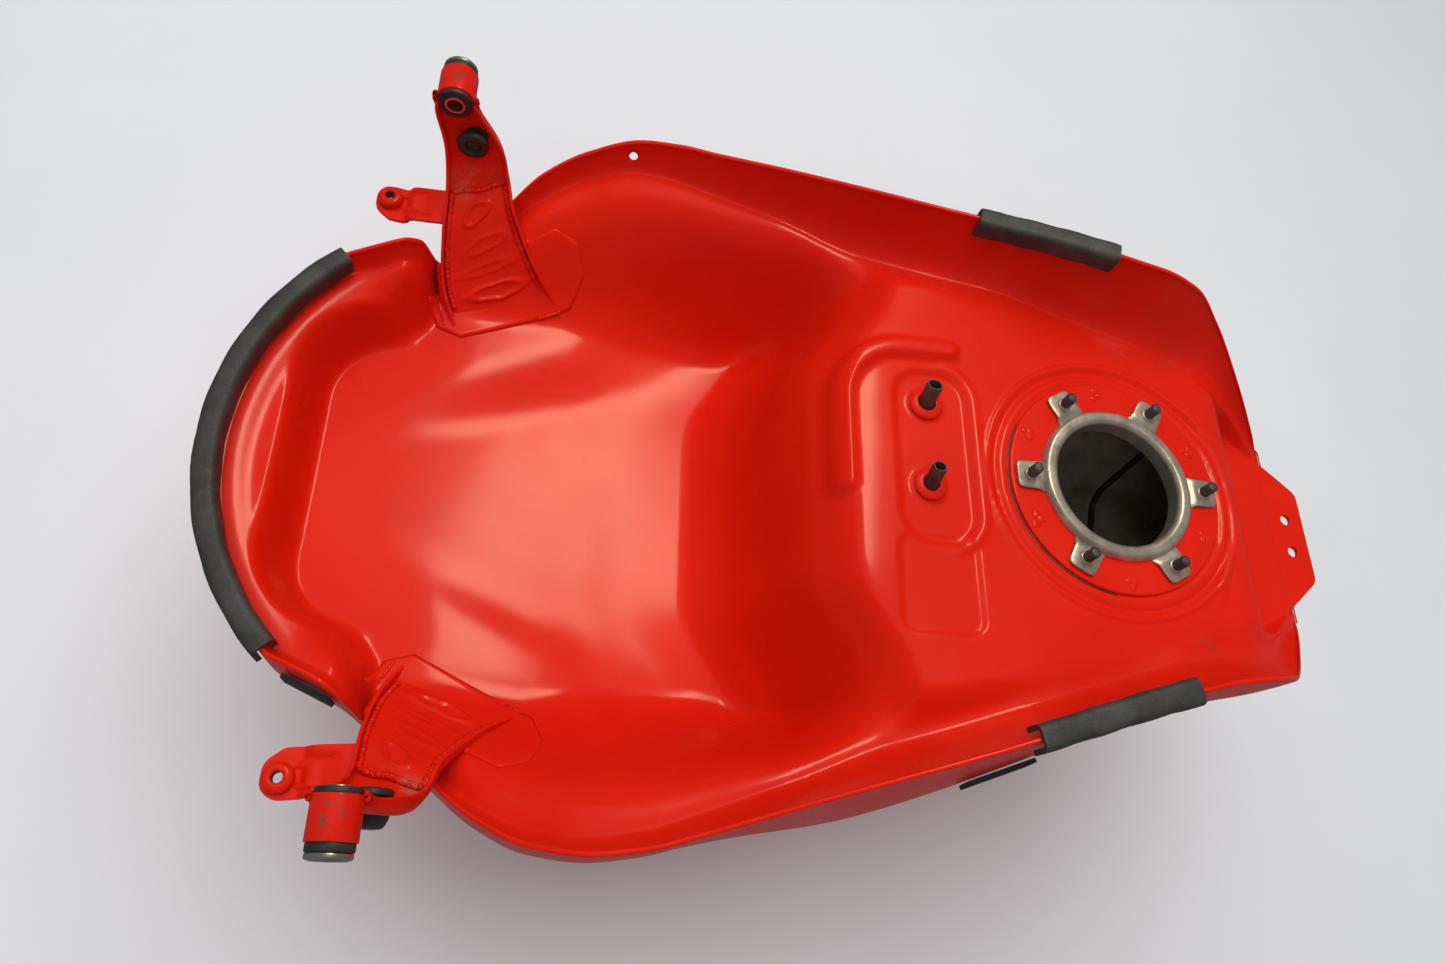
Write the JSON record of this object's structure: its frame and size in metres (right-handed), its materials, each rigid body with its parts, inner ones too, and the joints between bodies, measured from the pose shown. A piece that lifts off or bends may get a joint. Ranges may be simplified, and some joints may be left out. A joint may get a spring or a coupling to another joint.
{
  "type": "motorcycle fuel tank",
  "caption": "Pressed steel motorcycle fuel tank, lying underside up, with pump opening, pipe spigots, rubber-bushed front mounts, rear tab and hinged filler cap.",
  "frame": {"origin": "centre of the fuel pump stud circle, at the face the pump flange rests on", "axes": "+Z out of the tank's underside, so the tank lies upside down on its filler cap; +X to the tank's rear (seat end), along its length; y = 0 is the plane of symmetry. Turn it half a turn about X to fit it to a motorcycle."},
  "size_m": [0.6308, 0.4052, 0.3001],
  "materials": {
    "red_paint": "gloss",
    "trim_rubber": "matte extruded rubber edge trim",
    "pad_foam": "textured foam rubber pad",
    "black_rubber": "satin moulded rubber",
    "zinc_steel": "zinc plated",
    "bare_steel": "bare pressed steel",
    "dark_steel": "dark zinc plated steel",
    "inner_steel": "bare inner steel",
    "cap_metal": "satin die-cast",
    "bright_steel": "satin"
  },
  "bodies": {
    "tank": {"baffle": "inner_steel", "bottom_pan": "red_paint", "bracket_doubler_left": "red_paint", "bracket_doubler_right": "red_paint", "bracket_left": "red_paint", "bracket_right": "red_paint", "breather_pipe": "dark_steel", "breather_pipe_seat": "red_paint", "cap_ring": "cap_metal", "cap_screws": "bright_steel", "cowl_grommet_left": "black_rubber", "cowl_grommet_right": "black_rubber", "cowl_stay_left": "red_paint", "cowl_stay_right": "red_paint", "drain_pipe": "dark_steel", "drain_pipe_seat": "red_paint", "filler_neck": "inner_steel", "foot_plate_left": "red_paint", "foot_plate_right": "red_paint", "front_edge_trim": "trim_rubber", "front_pad_left": "pad_foam", "front_pad_right": "pad_foam", "hinge_pin": "bright_steel", "mount_collar_left": "zinc_steel", "mount_collar_right": "zinc_steel", "mount_rubber_left": "black_rubber", "mount_rubber_right": "black_rubber", "mount_tube_left": "red_paint", "mount_tube_right": "red_paint", "pump_ring": "bare_steel", "pump_seat": "red_paint", "pump_studs": "dark_steel", "rear_edge_trim_left": "trim_rubber", "rear_edge_trim_right": "trim_rubber", "rear_pad_left": "pad_foam", "rear_pad_right": "pad_foam", "rear_tab": "red_paint", "skin_left": "red_paint", "skin_right": "red_paint", "stay_nut_left": "red_paint", "stay_nut_right": "red_paint"},
    "lid": {"cap_lid": "cap_metal", "cap_plug": "cap_metal", "cap_seal": "black_rubber", "cover_rivet": "bright_steel"},
    "lock": {"lock_cylinder": "bright_steel"},
    "latch": {"latch": "bright_steel"},
    "key_flap": {"keyhole_cover": "bright_steel"}
  },
  "joints": [
    {"name": "lid_hinge", "type": "hinge", "parent": "tank", "child": "lid", "pos_m": [-0.267, 0, -0.2528], "axis": [0, 1, 0], "range_deg": [0, 100]},
    {"name": "key_turn", "type": "hinge", "parent": "lid", "child": "lock", "pos_m": [-0.226, 0, -0.25], "axis": [0, 0, 1], "range_deg": [0, 90]},
    {"name": "latch_slide", "type": "slide", "parent": "lid", "child": "latch", "axis": [1, 0, 0], "range_m": [0, 0.004]},
    {"name": "key_flap_swing", "type": "hinge", "parent": "lid", "child": "key_flap", "pos_m": [-0.226, 0.014, -0.2545], "axis": [0, 0, -1], "range_deg": [0, 90]}
  ],
  "couplings": [
    {"joint": "latch_slide", "follows": "key_turn", "m_per_rad": 0.002545}
  ]
}
